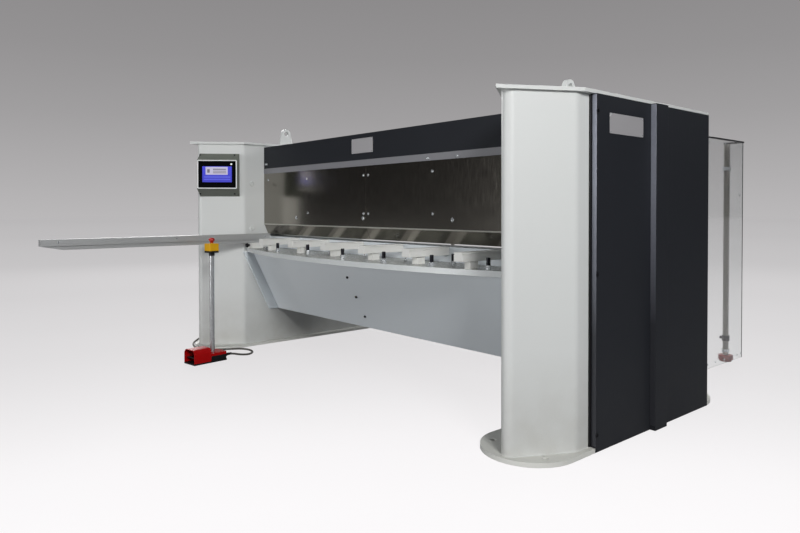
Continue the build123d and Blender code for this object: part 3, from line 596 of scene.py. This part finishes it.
class SHEAR_OT_covers(bpy.types.Operator):
    """Adds the covers' locks, dark gap strips and edge strips with a painted sheen, and the bare plates"""
    bl_idname = "shear.covers"
    bl_label = "Cover details"

    def execute(self, context):
        self.locks(context.scene.shear_sizes.lock_head / 2)
        self.trim(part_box("left_column")[0].z)
        self.plates(context.scene.shear_sizes.plate_width)
        return {"FINISHED"}

    def locks(self, r):
        """Quarter-turn locks: a rim and a raised key bar, three on each front cover."""
        locks = bmesh.new()
        lock_y = -0.437
        rim = [(0, 0), (1.2, 0), (1.2, 0.2), (1.05, 0.35), (0.8, 0.35), (0.75, 0.2), (0, 0.2)]
        key = [(-0.6, -0.14), (0.6, -0.14), (0.6, 0.14), (-0.6, 0.14)]
        for side, out in SIDES:
            low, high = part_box(f"{side}_front_cover")
            face = high.x if out > 0 else low.x
            for z in (1465, 767, 77):
                place = facing((face, lock_y, z * MM), (out, 0, 0))
                lathe(locks, [(r * across, r * up) for across, up in rim], place)
                prism(locks, [(r * x, r * y) for x, y in key], r * 0.1, r * 0.3, place)
        piece("cover_locks", locks, finish["black_oxide"])

    def trim(self, foot):
        """A black strip in the gap beside each front cover, and pale edge strips down the front of the
        front and ridge covers: a painted sheen.
        """
        gap_dark_strips = bmesh.new()
        strips = bmesh.new()
        thickness = 0.0008
        for side, out in SIDES:
            low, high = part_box(f"{side}_front_cover")
            inner, outer = sorted((low.x, high.x), key=abs)
            # A black strip down the gap between the column and each front cover.
            gap_dark_strip = [(0, 0), (0, -0.012), (out * 0.006, -0.012), (out * 0.008, -0.009), (out * 0.008, 0)]
            if out > 0:
                gap_dark_strip.reverse()
            prism(gap_dark_strips, gap_dark_strip, foot + 0.004, high.z - 0.004, Matrix.Translation((inner, low.y, 0)))

            ridge_low, ridge_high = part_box(f"{side}_ridge_cover")
            ridge = out * max(abs(ridge_low.x), abs(ridge_high.x))
            # Pale strips on the covers' front edges: a painted sheen of the anthracite coat.
            for start, end, y, top in (
                (inner + out * 0.0095, outer - out * 0.001, low.y, high.z),
                (outer + out * 0.0006, ridge - out * 0.001, ridge_low.y, ridge_high.z),
            ):
                strip = [(start, -thickness), (end, -thickness), (end, 0), (start, 0)]
                if out < 0:
                    strip.reverse()
                prism(strips, strip, foot + 0.006, top - 0.003, Matrix.Translation((0, y, 0)))
        piece("cover_gap_dark_strips", gap_dark_strips, finish["pedal_black"], bevel=0.001)
        piece("cover_edge_strips", strips, finish["zinc_sheet"], bevel=0.0003)

    def plates(self, wide):
        """Two bare plates with a rivet in each corner, on the right cover and the beam cover."""
        plates = bmesh.new()
        rivets = bmesh.new()
        thickness = 0.0015
        rivet = [(0.003, 0), (0.003, 0.0006), (0.002, 0.0014), (0, 0.0016)]
        rivet_inset = 0.007
        cover_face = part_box("right_front_cover")[1].x
        beam_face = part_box("beam_cover")[0].y
        sites = (
            (facing((cover_face, -0.206, 1.4205), X), wide, 0.089),
            (facing((-0.038, beam_face, 1.4485), -Y), wide * 0.78, 0.093),
        )
        for place, width, height in sites:
            prism(plates, rounded(width, height, 0.004), 0, thickness, place)
            for x in (-1, 1):
                for y in (-1, 1):
                    corner = (x * (width / 2 - rivet_inset), y * (height / 2 - rivet_inset), thickness)
                    lathe(rivets, rivet, place @ Matrix.Translation(corner), 12)
        piece("bare_plates", plates, finish["bare_plate"], bevel=0.0004)
        piece("bare_plate_rivets", rivets, finish["zinc"])


class SHEAR_OT_guard(bpy.types.Operator):
    """Adds the screws of the guard, the strip and the beam cover, and the guard's rounded bends with a
    painted highlight
    """
    bl_idname = "shear.guard"
    bl_label = "Guard details"

    def execute(self, context):
        size = context.scene.shear_sizes
        screws = bmesh.new()
        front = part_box("left_guard_panel")[0].y
        sites = [
            (-1225, 1270), (-679, 1261), (-668, 1020), (605, 1259), (608, 1020), (569, 1334), (797, 1332),
            (-1262, 1392), (-1243, 1392),
        ]
        sites += [(x, z) for z in (1260, 1018) for x in (-24, 24)]
        for x, z in sites:
            button_screw(screws, facing((x * MM, front, z * MM), -Y), size.guard_head)
        for x, z in ((-819, 985), (-29, 988), (763, 988)):
            button_screw(screws, facing((x * MM, front, z * MM), -Y), size.guard_head * 1.4)
        piece("guard_screws", screws, finish["zinc"])

        # Round bars along the bends, in a paler steel: a painted highlight on each fold.
        bends = bmesh.new()
        fold = 0.005
        fold_height = 0.9315
        for side, _ in SIDES:
            low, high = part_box(f"{side}_guard_panel")
            ends = [Vector((x, front + fold * 0.6, fold_height)) for x in (low.x + MM, high.x - MM)]
            sweep(bends, ends, [fold, fold], sides=16)
        piece("guard_bends", bends, finish["bend_steel"])
        return {"FINISHED"}


class SHEAR_OT_table(bpy.types.Operator):
    """Adds the screws and nuts on the table plate and the bolts in the apron"""
    bl_idname = "shear.table"
    bl_label = "Table hardware"

    def execute(self, context):
        width = context.scene.shear_sizes.nut_width
        head = context.scene.shear_sizes.screw_head
        screw_height = 0.036
        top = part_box("table_plate")[1].z
        nuts = bmesh.new()
        caps = bmesh.new()
        bolts = (
            (-700, -590), (-400, -540), (110, -625), (490, -622), (850, -602), (872, -468), (1170, -532),
        )
        for x, y in bolts:
            place = facing((x * MM, y * MM, top), Z, Y)
            hex_nut(nuts, place, width, width)
            socket_screw(caps, place @ Matrix.Translation((0, 0, width)), head, screw_height)
        for x, y in ((-980, -520), (-520, -539), (-252, -473), (91, -446), (493, -464)):
            dome_nut(nuts, facing((x * MM, y * MM, top), Z, Y), width * 0.8, width * 0.85)
        apron_normal = Vector((0, -0.9, -0.436))
        for x, y, z in ((-121, -420, 612), (-111, -357, 482), (-103, -292, 350)):
            hex_nut(caps, facing(at(x, y, z), apron_normal), width * 0.6, width * 0.35)
        piece("table_nuts", nuts, finish["zinc"], bevel=0.0006)
        piece("table_screws", caps, finish["black_oxide"])
        return {"FINISHED"}


class SHEAR_OT_squaring(bpy.types.Operator):
    """Adds the squaring arm's star knob and screws"""
    bl_idname = "shear.squaring"
    bl_label = "Squaring arm details"

    def execute(self, context):
        low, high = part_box("bracket_knob")
        middle = (low + high) / 2
        r = (high.x - low.x) / 2
        depth = high.y - low.y
        knob = bmesh.new()
        place = facing((middle.x, high.y, middle.z), -Y)
        stem = [(r * 0.4, 0), (r * 0.4, depth * 0.4)]
        lathe(knob, [(0, 0), *stem, (0, depth * 0.4)], place)
        head = [(r * 0.8, depth * 0.4), (r * 0.97, depth * 0.5), (r, depth * 0.7), (r * 0.93, depth * 0.9)]
        lobed(knob, [*head, (r * 0.7, depth)], 5, 0.09, place)
        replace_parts(piece("star_knob", knob, finish["pedal_black"]), "bracket_knob")

        screws = bmesh.new()
        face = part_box("squaring_arm")[1].x
        for y, z in ((-413, 843), (-383, 808), (-1100, 843), (-1850, 843)):
            button_screw(screws, facing((face, y * MM, z * MM), X), 0.01)
        piece("squaring_arm_screws", screws, finish["zinc"])
        return {"FINISHED"}


class SHEAR_OT_control(bpy.types.Operator):
    """Adds the control box's display and screws"""
    bl_idname = "shear.control"
    bl_label = "Control box details"

    def execute(self, context):
        out = Vector((0.8178, -0.5755, 0))
        along = Vector((0.5755, 0.8178, 0))
        low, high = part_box("control_glass")
        middle = (low + high) / 2
        place = facing(middle + out * 0.0046, out)
        # Name, finish, corner, lowest and highest level, and x, y, width and height of each patch in mm
        patches = (
            ("display_field", "screen_blue", 2, 0, 0.3, [(0, 0, 213, 117)]),
            ("display_panel", "screen_pale", 3, 0.3, 0.6, [(-3, 25.6, 160, 58)]),
            ("display_bars", "screen_bars", 2, 0.3, 0.5, [(0, -20, 190, 7), (0, -38, 190, 7)]),
            ("display_marks", "screen_grey", 1, 0.6, 0.8,
             [(-62, 24.5, 18, 26), (18, 37, 95, 7), (18, 23.5, 95, 5), (18, 11, 95, 5)]),
        )
        for name, wears, corner, bottom, top, spots in patches:
            patch = bmesh.new()
            for x, y, w, h in spots:
                spot = place @ Matrix.Translation(at(x, y, 0))
                prism(patch, rounded(w * MM, h * MM, corner * MM), bottom * MM, top * MM, spot)
            piece(name, patch, finish[wears])
        lamp = bmesh.new()
        lathe(lamp, [(0.007, 0), (0.007, 0.0006), (0.006, 0.001), (0, 0.001)],
              place @ Matrix.Translation((0.103, 0.075, 0)), 20)
        piece("display_lamp", lamp, finish["bezel_plastic"])
        screws = bmesh.new()
        depth = 0.012
        for z, lean in ((1161, -0.6), (1449, 0.6)):
            for across in (-0.125, 0.125):
                spot = Vector((middle.x, middle.y, 0)) + along * across
                seat = (spot.x - out.x * depth, spot.y - out.y * depth, z * MM)
                button_screw(screws, facing(seat, (out.x, out.y, lean)), 0.011)
        piece("control_box_screws", screws, finish["black_oxide"])
        return {"FINISHED"}


class SHEAR_OT_stop(bpy.types.Operator):
    """Adds the rounded emergency stop button and the screws of its box"""
    bl_idname = "shear.stop"
    bl_label = "Emergency stop"

    def execute(self, context):
        low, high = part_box("stop_button")
        middle = (low + high) / 2
        r = (high.x - low.x) / 2
        head = high.z - 0.025
        button = bmesh.new()
        profile = [
            (0, low.z), (r * 0.55, low.z), (r * 0.55, head - 0.002), (r * 0.62, head),
            (r * 0.97, head + 0.003), (r, head + 0.006), (r, head + 0.012), (r * 0.96, head + 0.017),
            (r * 0.82, head + 0.021), (r * 0.5, head + 0.0242), (r * 0.2, head + 0.025), (0, high.z),
        ]
        lathe(button, profile, Matrix.Translation((middle.x, middle.y, 0)), 36)
        made = piece("stop_mushroom", button, finish["stop_red"], body="stop_button", sharp=50)
        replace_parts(made, "stop_button")
        screws = bmesh.new()
        low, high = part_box("stop_housing")
        middle = (low + high) / 2
        lid = 0.81
        place = Matrix.Translation((middle.x, middle.y, lid))
        place = place @ Matrix.Rotation(math.radians(STAND_TURN), 4, "Z")
        for x in (-28, 28):
            for y in (-28, 28):
                button_screw(screws, place @ Matrix.Translation(at(x, y, 0)), 0.005)
        piece("stop_box_screws", screws, finish["zinc"])
        return {"FINISHED"}


class SHEAR_OT_cable(bpy.types.Operator):
    """Lays the pedal's cable along the floor, from its gland to the column's"""
    bl_idname = "shear.cable"
    bl_label = "Pedal cable"

    def execute(self, context):
        route = [
            (-1005.5, -825.7, 30), (-1011.2, -782.0, 30), (-996, -723, 14), (-992, -656, 7),
            (-1040, -598, 7), (-1122, -578, 7), (-1204, -604, 7), (-1248, -680, 7), (-1286, -762, 7),
            (-1352, -828, 7), (-1434, -866, 12), (-1508, -856, 32), (-1546, -800, 50),
            (-1586.5, -740.8, 60), (-1607.7, -702.3, 60),
        ]
        data = bpy.data.curves.new("pedal_lead", "CURVE")
        data.dimensions = "3D"
        data.bevel_depth = 0.007
        data.bevel_resolution = 6
        data.resolution_u = 12
        spline = data.splines.new("NURBS")
        spline.points.add(len(route) - 1)
        for point, place in zip(spline.points, route):
            point.co = (*at(*place), 1)
        spline.order_u = 3
        spline.use_endpoint_u = True
        data.materials.append(finish["cable_grey"])
        lead = bpy.data.objects.new("pedal_lead", data)
        bpy.context.scene.collection.objects.link(lead)
        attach(lead, BODY)
        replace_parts(lead, "pedal_cable")

        relief = bmesh.new()
        start, after = at(*route[0]), at(*route[1])
        along = (after - start).normalized()
        place = facing(start, along)
        profile = [(0.0105, -0.002), (0.0105, 0.004)]
        ribs = 5
        rib_pitch = 0.007
        for i in range(ribs):
            z = 0.004 + rib_pitch * i
            r = 0.0102 - 0.0005 * i
            profile += [(r, z + 0.001), (r, z + 0.004), (r - 0.0012, z + 0.005), (r - 0.0012, z + 0.0065)]
        profile += [(0.0076, 0.041), (0.0071, 0.042)]
        lathe(relief, profile, place)
        boot = piece("cable_strain_relief", relief, finish["pedal_black"])
        return {"FINISHED"}


class SHEAR_OT_pedal(bpy.types.Operator):
    """Adds the screws on the pedal's housing"""
    bl_idname = "shear.pedal"
    bl_label = "Pedal details"

    def execute(self, context):
        toe = Matrix.Translation(at(-998, -1097, 0)) @ Matrix.Rotation(math.radians(STAND_TURN), 4, "Z")
        lid = 62
        screws = bmesh.new()
        for x in (-52, 52):
            for y in (150, 238):
                button_screw(screws, toe @ Matrix.Translation(at(x, y, lid)), 0.007)
        piece("pedal_screws", screws, finish["zinc"])
        return {"FINISHED"}


class SHEAR_OT_rear_guard(bpy.types.Operator):
    """Adds the rear guard's collars, clamps and panel screws"""
    bl_idname = "shear.rear_guard"
    bl_label = "Rear guard details"

    def execute(self, context):
        collars = bmesh.new()
        clamps = bmesh.new()
        screws = bmesh.new()
        low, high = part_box("rear_guard_posts")
        y = (low.y + high.y) / 2
        r = (high.y - low.y) / 2
        for _, out in SIDES:
            x = out * (high.x - r)
            place = Matrix.Translation((x, y, 0))
            for mesh, z, height, grow in (
                (collars, 1.305, 0.026, 1.4), (collars, 0.062, 0.02, 1.3), (clamps, 0.14, 0.036, 1.3),
            ):
                top = z + height
                lathe(mesh, [(r, z), (r * grow, z), (r * grow, top), (r, top)], place)
            knob = Vector((x - out * r * 1.2, y, 0.158))
            stem = [knob, knob + at(-out * 6, 0, 0), knob + at(-out * 15, 0, 1)]
            sweep(clamps, stem, [0.006, 0.009, 0.011], sides=12)
            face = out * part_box("right_rear_guard_panel")[1].x
            for along in (1229, 1338, 1462, 1660, 1724):
                for z in (1.462, 0.07):
                    button_screw(screws, facing((face, along * MM, z), (out, 0, 0)), 0.009)
            button_screw(screws, facing((face, 1.684, 1.137), (out, 0, 0)), 0.012)
        piece("post_collars", collars, finish["zinc"])
        piece("post_clamps", clamps, finish["black_oxide"])
        piece("rear_guard_screws", screws, finish["zinc"])
        return {"FINISHED"}


class SHEAR_OT_stage(bpy.types.Operator):
    """Sets the floor, the backdrop, the lamps and the camera"""
    bl_idname = "shear.stage"
    bl_label = "Stage"

    def execute(self, context):
        scene = context.scene
        scene.view_settings.view_transform = "Standard"
        self.floor(scene)
        self.backdrop(scene)
        # Name, place, height aimed at, width and height, and watts
        lamps = (
            ("key_softbox", (6.3, -3.4, 3.9), 2.7, (1.6, 1.8), 325),
            ("front_softbox", (-1.0, -7.0, 1.1), 1.0, (3.0, 1.4), 130),
            ("overhead_softbox", (0.0, -1.5, 5.2), 1.7, (4.0, 2.4), 12),
            ("rear_softbox", (0.5, 8.0, 5.0), 1.0, (4.0, 3.0), 370),
            ("left_softbox", (-8.0, 1.5, 4.5), 1.0, (3.4, 3.4), 420),
        )
        for name, place, aim, spread, power in lamps:
            data = bpy.data.lights.new(name, "AREA")
            data.shape = "RECTANGLE"
            data.size, data.size_y = spread
            data.energy = power
            lamp = bpy.data.objects.new(name, data)
            scene.collection.objects.link(lamp)
            lamp.visible_camera = False
            lamp.location = place
            way = Vector((0.3, -0.4, aim)) - Vector(place)
            lamp.rotation_euler = way.to_track_quat("-Z", "Y").to_euler()

        # Solved from the photograph's vanishing points
        data = bpy.data.cameras.new("camera")
        data.lens = 29.616
        data.sensor_width = 36.0
        data.shift_y = -0.0591
        data.clip_end = 300.0
        camera = bpy.data.objects.new("camera", data)
        scene.collection.objects.link(camera)
        camera.location = (3.277, -2.904, 1.050)
        camera.rotation_euler = (math.radians(90 - 0.93), math.radians(0.08), math.radians(49.265))
        scene.camera = camera
        return {"FINISHED"}

    def background(self, tree, path, gloss):
        """How much of the background a ray shows: all if seen straight or through, a share in a gloss."""
        through = add(
            tree, "ShaderNodeMath",
            {0: path.outputs["Is Camera Ray"], 1: path.outputs["Is Transmission Ray"]},
            operation="MAXIMUM",
        )
        share = add(
            tree, "ShaderNodeMath", {0: path.outputs["Is Glossy Ray"], 1: gloss}, operation="MULTIPLY",
        )
        return add(
            tree, "ShaderNodeMath", {0: through.outputs["Value"], 1: share.outputs["Value"]},
            operation="MAXIMUM",
        ).outputs["Value"]

    def floor(self, scene):
        """A pale disc, brightest near the front right corner, that keeps the shadow."""
        mesh = bmesh.new()
        bmesh.ops.create_circle(mesh, cap_ends=True, segments=96, radius=80)
        data = bpy.data.meshes.new("floor")
        mesh.to_mesh(data)
        mesh.free()
        ground = bpy.data.objects.new("floor", data)
        scene.collection.objects.link(ground)
        made, tree, shader, where = material("painted_studio_floor", Roughness=0.8)
        brightest = (3.277, -2.904, 0.0)
        farthest = 60
        reach = add(tree, "ShaderNodeVectorMath", {0: where, 1: brightest}, operation="DISTANCE")
        share = add(tree, "ShaderNodeMapRange", {"Value": reach.outputs["Value"], "From Max": farthest})
        # Metres from the brightest place, and the sRGB level there
        tones = ((2.3, 254), (2.92, 251), (3.75, 239), (4.37, 232), (5.24, 225), (6.53, 218), (9, 209),
                 (15, 204), (28, 197), (farthest, 192))
        ramp = self.ramp(tree, share.outputs["Result"], [(d / farthest, v) for d, v in tones])
        seen = self.background(tree, add(tree, "ShaderNodeLightPath"), 0.15)
        ground_tone = add(
            tree, "ShaderNodeMix", {"Factor": seen, "A": linear("#6C6C6C"), "B": ramp}, data_type="RGBA",
        )
        tree.links.new(ground_tone.outputs["Result"], shader.inputs["Base Color"])
        glow = add(tree, "ShaderNodeEmission", {"Color": ramp})
        amount = add(tree, "ShaderNodeMath", {0: seen, 1: 0.9}, operation="MULTIPLY")
        both = add(
            tree, "ShaderNodeMixShader",
            {0: amount.outputs["Value"], 1: shader.outputs["BSDF"], 2: glow.outputs["Emission"]},
        )
        tree.links.new(both.outputs["Shader"], tree.nodes["Material Output"].inputs["Surface"])
        data.materials.append(made)

    def ramp(self, tree, factor, stops):
        """A faintly warm grey ramp through (position, sRGB level) pairs."""
        made = add(tree, "ShaderNodeValToRGB", {"Fac": factor})
        steps = made.color_ramp.elements
        while len(steps) < len(stops):
            steps.new(0.5)
        for step, (position, level) in zip(steps, stops):
            step.position = position
            step.color = linear(f"#{level + 1:02X}{level - 1:02X}{level:02X}")
        return made.outputs["Color"]

    def backdrop(self, scene):
        """A grey that falls off upwards, behind the machine. The room opposite it is dark."""
        world = bpy.data.worlds.new("studio")
        world.use_nodes = True
        scene.world = world
        tree = world.node_tree
        way = add(tree, "ShaderNodeTexCoord").outputs["Generated"]
        up = add(tree, "ShaderNodeSeparateXYZ", {"Vector": way}).outputs["Z"]
        share = add(tree, "ShaderNodeMapRange", {"Value": up, "From Min": -0.1, "From Max": 1.0})
        # Degrees above the horizon, and the sRGB level there
        tones = ((-2.7, 190), (0, 183), (2.5, 175), (7.6, 159), (12.6, 147), (17.3, 140), (30, 126),
                 (90, 114))
        stops = [((math.sin(math.radians(e)) + 0.1) / 1.1, v) for e, v in tones]
        grey = self.ramp(tree, share.outputs["Result"], stops)
        path = add(tree, "ShaderNodeLightPath")
        seen = self.background(tree, path, 1.0)
        behind = (-0.758, 0.652, 0.0)
        side = add(tree, "ShaderNodeVectorMath", {0: way, 1: behind}, operation="DOT_PRODUCT")
        room = add(
            tree, "ShaderNodeMapRange",
            {"Value": side.outputs["Value"], "From Min": 0.35, "From Max": 0.85, "To Min": 0.075,
             "To Max": 1.0},
            interpolation_type="SMOOTHSTEP",
        )
        # Dark in a gloss only, full for every other ray
        other = add(
            tree, "ShaderNodeMath", {0: 1.0, 1: path.outputs["Is Glossy Ray"]}, operation="SUBTRACT",
        )
        level = add(
            tree, "ShaderNodeMath", {0: room.outputs["Result"], 1: other.outputs["Value"]},
            operation="MAXIMUM",
        )
        soft = add(
            tree, "ShaderNodeMix", {"Factor": seen, "A": linear("#5E6066"), "B": grey}, data_type="RGBA",
        )
        back = tree.nodes["Background"]
        tree.links.new(soft.outputs["Result"], back.inputs["Color"])
        tree.links.new(level.outputs["Value"], back.inputs["Strength"])


class SHEAR_PT_panel(bpy.types.Panel):
    """Lists the sizes, the colours and the steps"""
    bl_idname = "SHEAR_PT_panel"
    bl_label = "Plate Shear"
    bl_space_type = "VIEW_3D"
    bl_region_type = "UI"
    bl_category = "Plate Shear"

    def draw(self, context):
        layout = self.layout
        for group in (context.scene.shear_sizes, context.scene.shear_colours):
            column = layout.column()
            for name in group.__annotations__:
                column.prop(group, name)
        for step in OPERATORS:
            layout.operator(step.bl_idname)


OPERATORS = (
    SHEAR_OT_finishes,
    SHEAR_OT_columns,
    SHEAR_OT_covers,
    SHEAR_OT_guard,
    SHEAR_OT_table,
    SHEAR_OT_squaring,
    SHEAR_OT_control,
    SHEAR_OT_stop,
    SHEAR_OT_cable,
    SHEAR_OT_pedal,
    SHEAR_OT_rear_guard,
    SHEAR_OT_stage,
)
CLASSES = (ShearColours, ShearSizes, *OPERATORS, SHEAR_PT_panel)


def register():
    for one in CLASSES:
        bpy.utils.register_class(one)
    bpy.types.Scene.shear_colours = PointerProperty(type=ShearColours)
    bpy.types.Scene.shear_sizes = PointerProperty(type=ShearSizes)


def unregister():
    del bpy.types.Scene.shear_sizes
    del bpy.types.Scene.shear_colours
    for one in reversed(CLASSES):
        bpy.utils.unregister_class(one)


def main():
    """Runs every step in order and keeps the two boxes."""
    register()
    bpy.ops.shear.finishes()
    bpy.ops.shear.columns()
    bpy.ops.shear.covers()
    bpy.ops.shear.guard()
    bpy.ops.shear.table()
    bpy.ops.shear.squaring()
    bpy.ops.shear.control()
    bpy.ops.shear.stop()
    bpy.ops.shear.cable()
    bpy.ops.shear.pedal()
    bpy.ops.shear.rear_guard()
    bpy.ops.shear.stage()


if __name__ == "__main__":
    main()
